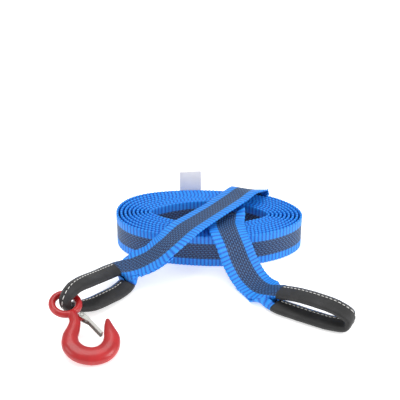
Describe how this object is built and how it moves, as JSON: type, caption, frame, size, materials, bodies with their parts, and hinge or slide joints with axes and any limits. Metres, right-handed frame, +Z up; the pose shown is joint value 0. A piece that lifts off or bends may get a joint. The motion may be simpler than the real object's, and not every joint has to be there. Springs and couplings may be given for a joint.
{
  "type": "tow strap",
  "caption": "Flat webbing tow strap wound on edge into a flattened coil, with sleeved eyes at both ends and a forged eye hook with a sprung latch.",
  "frame": {"origin": "on the floor, under the middle of the whole strap as it lies", "axes": "+X to the right across the coil's long side, +Y away from the hook towards the back of the coil, +Z up"},
  "size_m": [0.3908, 0.3238, 0.0771],
  "materials": {
    "webbing": "woven polyester, blue with a dark navy stripe along the middle",
    "sleeve": "matt black woven protective sleeve with white stitching",
    "label": "plain white woven ribbon",
    "hook_paint": "glossy red enamel on a forging",
    "zinc": "dull zinc plate"
  },
  "bodies": {
    "strap": {"strap_coil": "webbing", "strap_to_hook": "webbing", "strap_to_free_eye": "webbing", "sleeve_hook_end": "sleeve", "sleeve_free_end": "sleeve", "label": "label"},
    "hook": {"hook": "hook_paint", "latch_pin": "zinc"},
    "latch": {"latch": "zinc"}
  },
  "joints": [
    {"name": "hook_swing", "type": "hinge", "parent": "strap", "child": "hook", "pos_m": [-0.16413, -0.05986, 0.03017], "axis": [-0.8131, 0.5822, 0], "range_deg": [0, 55]},
    {"name": "latch_pivot", "type": "hinge", "parent": "hook", "child": "latch", "pos_m": [-0.15208, -0.09077, 0.0227], "axis": [0.1258, -0.1865, 0.9744], "range_deg": [-35, 0], "stiffness_Nm_per_rad": 0.05, "springref_deg": 8.59}
  ]
}
